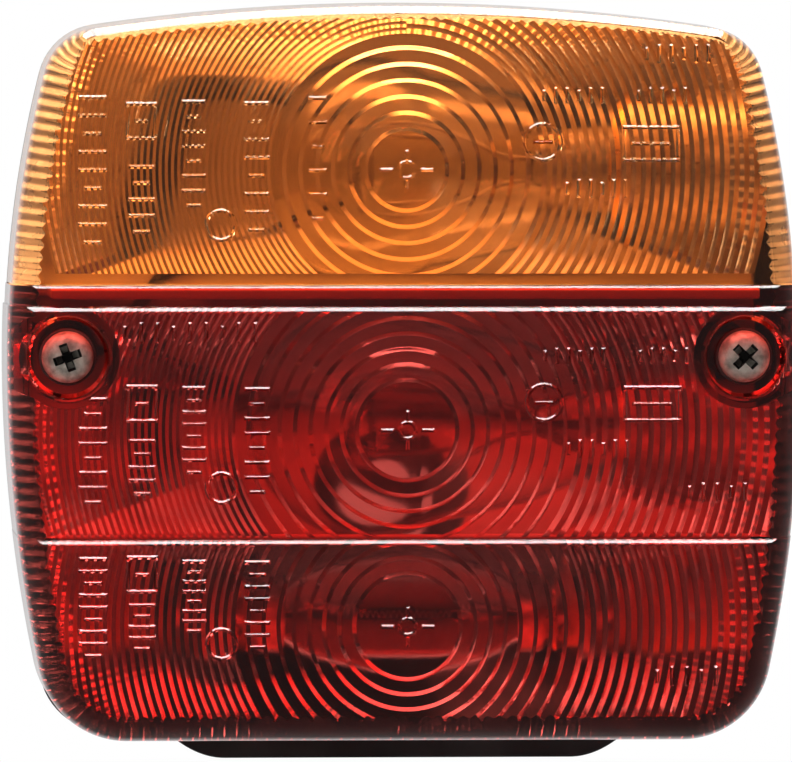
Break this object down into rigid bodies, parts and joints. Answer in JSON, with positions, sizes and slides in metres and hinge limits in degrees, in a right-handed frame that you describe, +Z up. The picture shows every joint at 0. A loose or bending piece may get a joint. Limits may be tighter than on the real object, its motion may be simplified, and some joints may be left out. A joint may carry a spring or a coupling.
{
  "type": "trailer tail light",
  "caption": "Square rear lamp for a trailer: black housing, two-colour lens held by screws, and inside it direction, stop, tail and plate lamp bulbs in their holders.",
  "frame": {"origin": "On the flat back face of the housing, midway between the two mounting bolts, in the pad between them.", "axes": "+X to the right seen from the front, +Z up, +Y out of the back face into the panel; the lens faces -Y."},
  "size_m": [0.105, 0.0655, 0.1007],
  "materials": {
    "housing_plastic": "black moulded ABS with a fine grain",
    "amber_lens_plastic": "clear amber acrylic, polished outside, optics inside",
    "red_lens_plastic": "clear red acrylic, polished outside, optics inside",
    "clear_plastic": "clear polycarbonate window",
    "tray_plastic": "pale grey moulded plastic",
    "seal_rubber": "black EPDM rubber",
    "bulb_glass": "clear bulb glass",
    "plated_steel": "nickel or zinc plated, slightly tarnished",
    "brass": "bare brass",
    "filament_metal": "tungsten wire on a glass stem",
    "cap_glass": "black vitrite with a lead contact",
    "insulator_plastic": "cream moulded insulating plastic",
    "lead_black": "black PVC insulated wire",
    "lead_brown": "brown PVC insulated wire"
  },
  "bodies": {
    "base": {"housing": "housing_plastic", "plate_window": "clear_plastic", "inner_tray": "tray_plastic", "lens_gasket": "seal_rubber", "cable_grommet": "seal_rubber", "indicator_bulb_holder": "plated_steel", "indicator_holder_bracket": "plated_steel", "indicator_contact_spring": "plated_steel", "indicator_bracket_rivet_1": "plated_steel", "indicator_bracket_rivet_2": "plated_steel", "stop_bulb_holder": "plated_steel", "stop_holder_bracket": "plated_steel", "stop_contact_spring": "plated_steel", "stop_bracket_rivet_1": "plated_steel", "stop_bracket_rivet_2": "plated_steel", "tail_rivet_left": "plated_steel", "tail_rivet_right": "plated_steel", "left_mounting_bolt": "plated_steel", "right_mounting_bolt": "plated_steel", "tail_terminal_left": "brass", "tail_terminal_right": "brass", "terminal_block": "insulator_plastic", "indicator_lead": "lead_black", "stop_lead": "lead_black", "tail_lead": "lead_black", "earth_lead": "lead_brown"},
    "lens": {"red_lens": "red_lens_plastic", "amber_lens": "amber_lens_plastic"},
    "left_screw_seal": {"left_screw_seal": "seal_rubber"},
    "left_lens_screw": {"left_lens_screw": "plated_steel"},
    "right_screw_seal": {"right_screw_seal": "seal_rubber"},
    "right_lens_screw": {"right_lens_screw": "plated_steel"},
    "indicator_contact": {"indicator_contact_disc": "insulator_plastic"},
    "indicator_bulb": {"indicator_bulb_glass": "bulb_glass", "indicator_bulb_cap": "brass", "indicator_bulb_contact": "cap_glass", "indicator_bulb_filament": "filament_metal"},
    "stop_contact": {"stop_contact_disc": "insulator_plastic"},
    "stop_bulb": {"stop_bulb_glass": "bulb_glass", "stop_bulb_cap": "brass", "stop_bulb_contact": "cap_glass", "stop_bulb_filament": "filament_metal"},
    "tail_bulb": {"tail_bulb_glass": "bulb_glass", "tail_bulb_filament": "filament_metal", "tail_bulb_cap_left": "plated_steel", "tail_bulb_cap_right": "plated_steel"},
    "tail_contact_left": {"tail_contact_left": "brass"},
    "tail_contact_right": {"tail_contact_right": "brass"},
    "terminal_screw_1": {"terminal_screw_1": "brass"},
    "terminal_screw_2": {"terminal_screw_2": "brass"},
    "terminal_screw_3": {"terminal_screw_3": "brass"},
    "terminal_screw_4": {"terminal_screw_4": "brass"},
    "left_mounting_washer": {"left_mounting_washer": "plated_steel"},
    "left_mounting_nut": {"left_mounting_nut": "plated_steel"},
    "right_mounting_washer": {"right_mounting_washer": "plated_steel"},
    "right_mounting_nut": {"right_mounting_nut": "plated_steel"}
  },
  "joints": [
    {"name": "lens_removal", "type": "slide", "parent": "base", "child": "lens", "axis": [0, -1, 0], "range_m": [0, 0.06]},
    {"name": "left_lens_screw_travel", "type": "slide", "parent": "lens", "child": "left_screw_seal", "axis": [0, -1, 0], "range_m": [0, 0.0091]},
    {"name": "left_lens_screw_turn", "type": "hinge", "parent": "left_screw_seal", "child": "left_lens_screw", "pos_m": [-0.04375, -0.03, 0.00225], "axis": [0, -1, 0], "range_deg": [0, 2521]},
    {"name": "right_lens_screw_travel", "type": "slide", "parent": "lens", "child": "right_screw_seal", "axis": [0, -1, 0], "range_m": [0, 0.0091]},
    {"name": "right_lens_screw_turn", "type": "hinge", "parent": "right_screw_seal", "child": "right_lens_screw", "pos_m": [0.04375, -0.03, 0.00225], "axis": [0, -1, 0], "range_deg": [0, 2521]},
    {"name": "indicator_bulb_push", "type": "slide", "parent": "base", "child": "indicator_contact", "axis": [1, 0, 0], "range_m": [0, 0.002], "stiffness_N_per_m": 1500, "springref_m": -0.002, "deforming": ["indicator_contact_spring"]},
    {"name": "indicator_bulb_twist", "type": "hinge", "parent": "indicator_contact", "child": "indicator_bulb", "pos_m": [0, -0.025, 0.0264], "axis": [1, 0, 0], "range_deg": [0, 25]},
    {"name": "stop_bulb_push", "type": "slide", "parent": "base", "child": "stop_contact", "axis": [1, 0, 0], "range_m": [0, 0.002], "stiffness_N_per_m": 1500, "springref_m": -0.002, "deforming": ["stop_contact_spring"]},
    {"name": "stop_bulb_twist", "type": "hinge", "parent": "stop_contact", "child": "stop_bulb", "pos_m": [0, -0.025, -0.007], "axis": [1, 0, 0], "range_deg": [0, 25]},
    {"name": "tail_bulb_spin", "type": "hinge", "parent": "base", "child": "tail_bulb", "pos_m": [0, -0.027, -0.0323], "axis": [1, 0, 0], "continuous": true},
    {"name": "tail_contact_left_flex", "type": "hinge", "parent": "base", "child": "tail_contact_left", "pos_m": [-0.01765, -0.0109, -0.0323], "axis": [0, 0, -1], "range_deg": [0, 6], "stiffness_Nm_per_rad": 0.12},
    {"name": "tail_contact_right_flex", "type": "hinge", "parent": "base", "child": "tail_contact_right", "pos_m": [0.01765, -0.0109, -0.0323], "axis": [0, 0, 1], "range_deg": [0, 6], "stiffness_Nm_per_rad": 0.12},
    {"name": "terminal_screw_1_turn", "type": "hinge", "parent": "base", "child": "terminal_screw_1", "pos_m": [-0.038, -0.015, -0.0141], "axis": [0, -1, 0], "range_deg": [0, 1080]},
    {"name": "terminal_screw_2_turn", "type": "hinge", "parent": "base", "child": "terminal_screw_2", "pos_m": [-0.032, -0.015, -0.0141], "axis": [0, -1, 0], "range_deg": [0, 1080]},
    {"name": "terminal_screw_3_turn", "type": "hinge", "parent": "base", "child": "terminal_screw_3", "pos_m": [-0.026, -0.015, -0.0141], "axis": [0, -1, 0], "range_deg": [0, 1080]},
    {"name": "terminal_screw_4_turn", "type": "hinge", "parent": "base", "child": "terminal_screw_4", "pos_m": [-0.02, -0.015, -0.0141], "axis": [0, -1, 0], "range_deg": [0, 1080]},
    {"name": "left_nut_travel", "type": "slide", "parent": "base", "child": "left_mounting_washer", "axis": [0, 1, 0], "range_m": [0, 0.0065]},
    {"name": "left_nut_turn", "type": "hinge", "parent": "left_mounting_washer", "child": "left_mounting_nut", "pos_m": [-0.0225, 0.007, 0], "axis": [0, 1, 0], "range_deg": [0, 2926]},
    {"name": "right_nut_travel", "type": "slide", "parent": "base", "child": "right_mounting_washer", "axis": [0, 1, 0], "range_m": [0, 0.0065]},
    {"name": "right_nut_turn", "type": "hinge", "parent": "right_mounting_washer", "child": "right_mounting_nut", "pos_m": [0.0225, 0.007, 0], "axis": [0, 1, 0], "range_deg": [0, 2926]}
  ],
  "couplings": [
    {"joint": "left_lens_screw_turn", "follows": "left_lens_screw_travel", "rad_per_m": 4833.2},
    {"joint": "right_lens_screw_turn", "follows": "right_lens_screw_travel", "rad_per_m": 4833.2},
    {"joint": "left_nut_turn", "follows": "left_nut_travel", "rad_per_m": 7854},
    {"joint": "right_nut_turn", "follows": "right_nut_travel", "rad_per_m": 7854}
  ]
}
